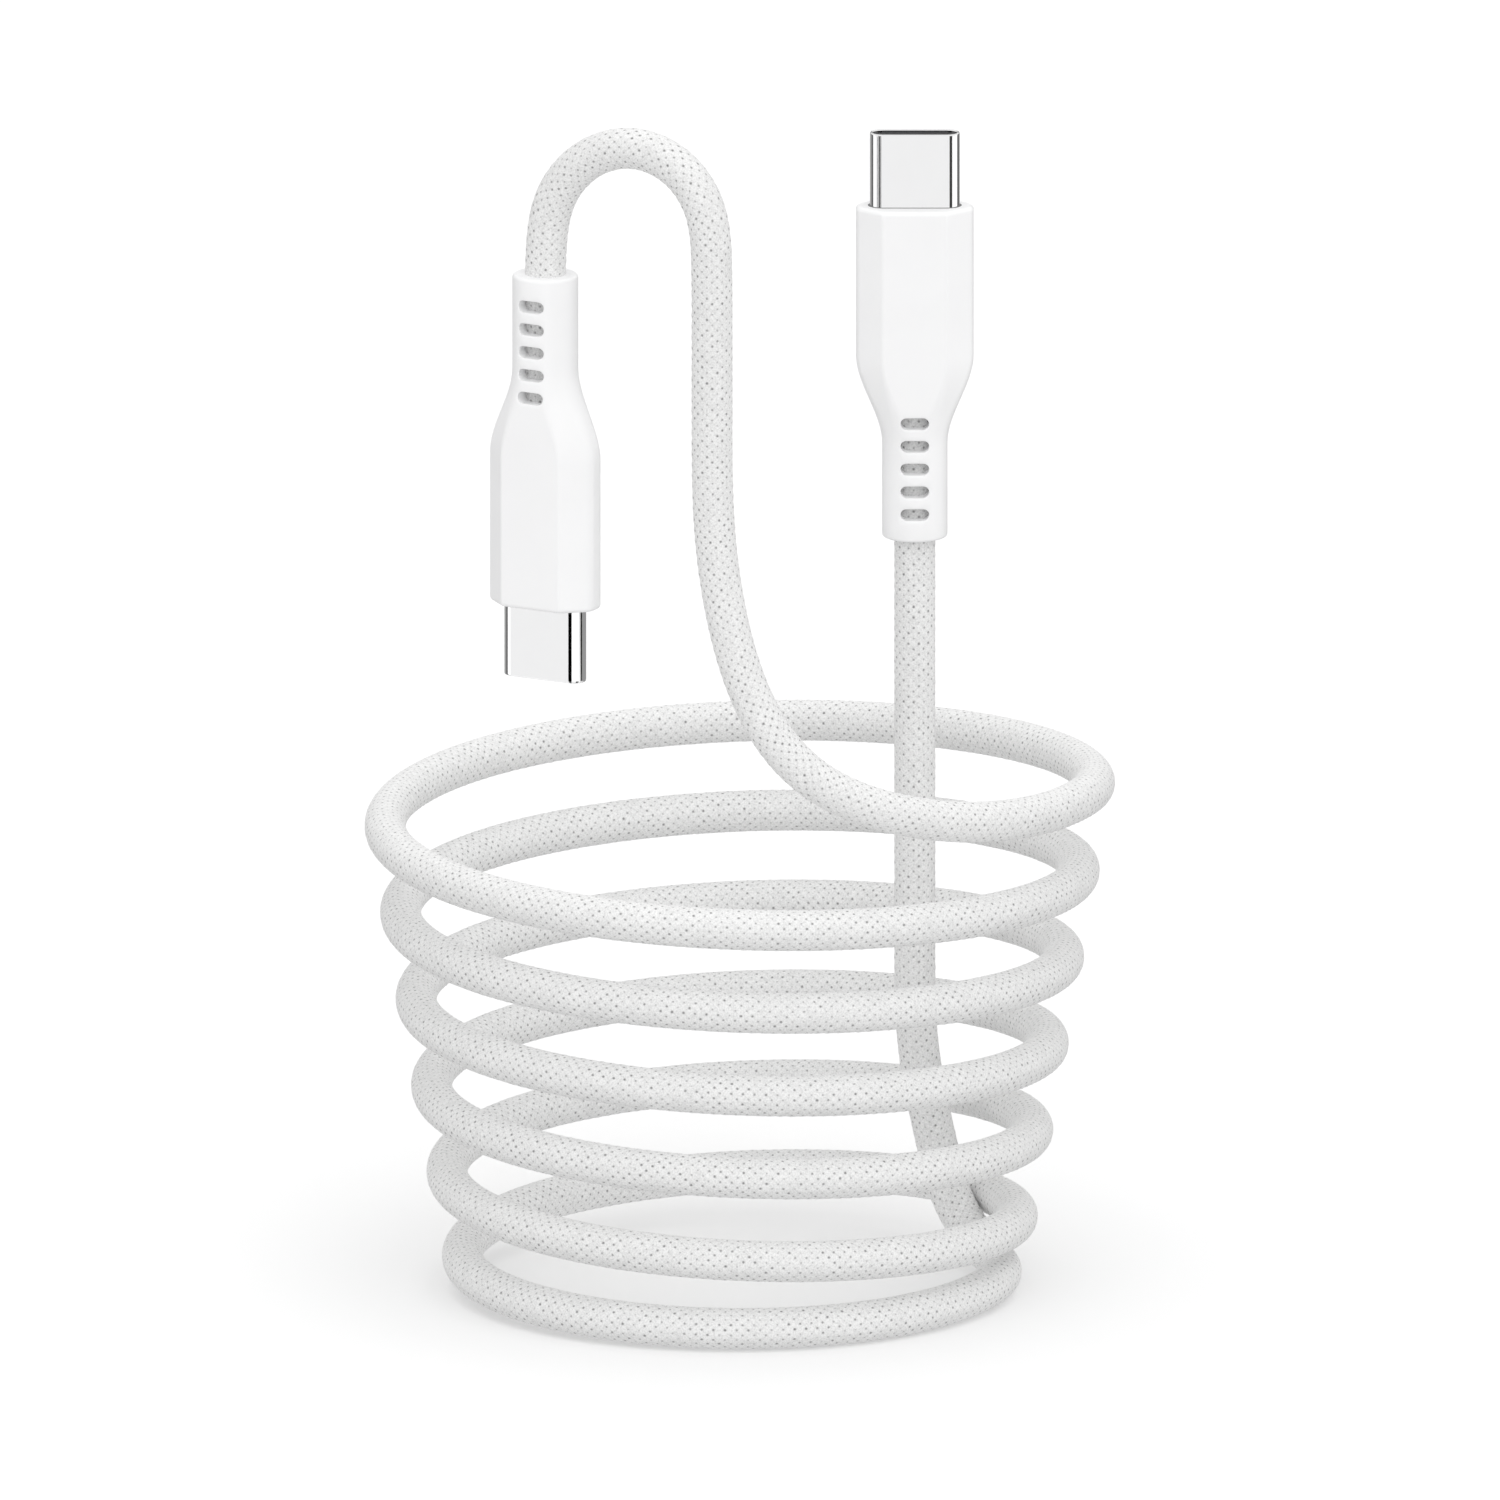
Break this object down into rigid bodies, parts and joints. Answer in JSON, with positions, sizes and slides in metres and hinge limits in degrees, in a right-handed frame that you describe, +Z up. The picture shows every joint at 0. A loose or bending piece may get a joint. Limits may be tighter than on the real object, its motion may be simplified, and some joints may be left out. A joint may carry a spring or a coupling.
{
  "type": "charging cable",
  "caption": "Braided charging cable standing as an open conical coil, with a moulded reversible plug at each end.",
  "frame": {"origin": "point on the floor under the axis of the coil", "axes": "+Z up along the coil's axis, +X to the right and -Y to the front"},
  "size_m": [0.0696, 0.0696, 0.1151],
  "materials": {
    "cord_braid": "fine white polyester braid with small regular gaps",
    "housing_white": "satin white moulding",
    "mould_ivory": "soft inner moulding",
    "shell_chrome": "bright plated sheet",
    "steel_plain": "plain spring steel",
    "insulator_dark": "black moulded insulator",
    "contact_gold": "gold plated",
    "card_green": "solder mask",
    "chip_black": "moulded chip",
    "passive_tan": "ceramic",
    "jacket_white": "soft inner jacket",
    "wire_red": "wire insulation",
    "wire_black": "wire insulation",
    "wire_blue": "wire insulation",
    "wire_green": "wire insulation"
  },
  "bodies": {
    "cord": {"cord_coil": "cord_braid", "cord_hook": "cord_braid", "cord_riser": "cord_braid"},
    "plug_a": {"plug_a_housing": "housing_white", "plug_a_inner_mould": "mould_ivory", "plug_a_rear_shell": "steel_plain", "plug_a_shell": "shell_chrome", "plug_a_insulator": "insulator_dark", "plug_a_contacts_upper": "contact_gold", "plug_a_contacts_lower": "contact_gold", "plug_a_spring_upper": "steel_plain", "plug_a_spring_lower": "steel_plain", "plug_a_latch_plate": "steel_plain", "plug_a_card": "card_green", "plug_a_marker_chip": "chip_black", "plug_a_passives": "passive_tan", "plug_a_ferrule": "steel_plain", "plug_a_jacket_end": "jacket_white", "plug_a_wire_power": "wire_red", "plug_a_wire_ground": "wire_black", "plug_a_wire_config": "wire_blue", "plug_a_wires_data": "wire_green"},
    "plug_a_latch_left": {"plug_a_latch_left": "steel_plain"},
    "plug_a_latch_right": {"plug_a_latch_right": "steel_plain"},
    "plug_b": {"plug_b_housing": "housing_white", "plug_b_inner_mould": "mould_ivory", "plug_b_rear_shell": "steel_plain", "plug_b_shell": "shell_chrome", "plug_b_insulator": "insulator_dark", "plug_b_contacts_upper": "contact_gold", "plug_b_contacts_lower": "contact_gold", "plug_b_spring_upper": "steel_plain", "plug_b_spring_lower": "steel_plain", "plug_b_latch_plate": "steel_plain", "plug_b_card": "card_green", "plug_b_marker_chip": "chip_black", "plug_b_passives": "passive_tan", "plug_b_ferrule": "steel_plain", "plug_b_jacket_end": "jacket_white", "plug_b_wire_power": "wire_red", "plug_b_wire_ground": "wire_black", "plug_b_wire_config": "wire_blue", "plug_b_wires_data": "wire_green"},
    "plug_b_latch_left": {"plug_b_latch_left": "steel_plain"},
    "plug_b_latch_right": {"plug_b_latch_right": "steel_plain"}
  },
  "joints": [
    {"name": "plug_a_flex", "type": "hinge", "parent": "cord", "child": "plug_a", "pos_m": [-0.0175, -0.0198, 0.0962], "axis": [0.8746, -0.4848, 0], "range_deg": [-30, 30], "stiffness_Nm_per_rad": 0.02, "deforming": ["cord_hook", "plug_a_housing"]},
    {"name": "plug_a_latch_left_spring", "type": "hinge", "parent": "plug_a", "child": "plug_a_latch_left", "pos_m": [-0.02065, -0.01805, 0.0696], "axis": [0.4848, 0.8746, 0], "range_deg": [0, 2.2], "stiffness_Nm_per_rad": 0.4},
    {"name": "plug_a_latch_right_spring", "type": "hinge", "parent": "plug_a", "child": "plug_a_latch_right", "pos_m": [-0.01435, -0.02155, 0.0696], "axis": [-0.4848, -0.8746, 0], "range_deg": [0, 2.2], "stiffness_Nm_per_rad": 0.4},
    {"name": "plug_b_flex", "type": "hinge", "parent": "cord", "child": "plug_b", "pos_m": [0.0164, 0.009, 0.0729], "axis": [1, 0, 0], "range_deg": [-30, 30], "stiffness_Nm_per_rad": 0.02, "deforming": ["cord_riser", "plug_b_housing"]},
    {"name": "plug_b_latch_left_spring", "type": "hinge", "parent": "plug_b", "child": "plug_b_latch_left", "pos_m": [0.0128, 0.009, 0.0995], "axis": [0, -1, 0], "range_deg": [0, 2.2], "stiffness_Nm_per_rad": 0.4},
    {"name": "plug_b_latch_right_spring", "type": "hinge", "parent": "plug_b", "child": "plug_b_latch_right", "pos_m": [0.02, 0.009, 0.0995], "axis": [0, 1, 0], "range_deg": [0, 2.2], "stiffness_Nm_per_rad": 0.4}
  ]
}
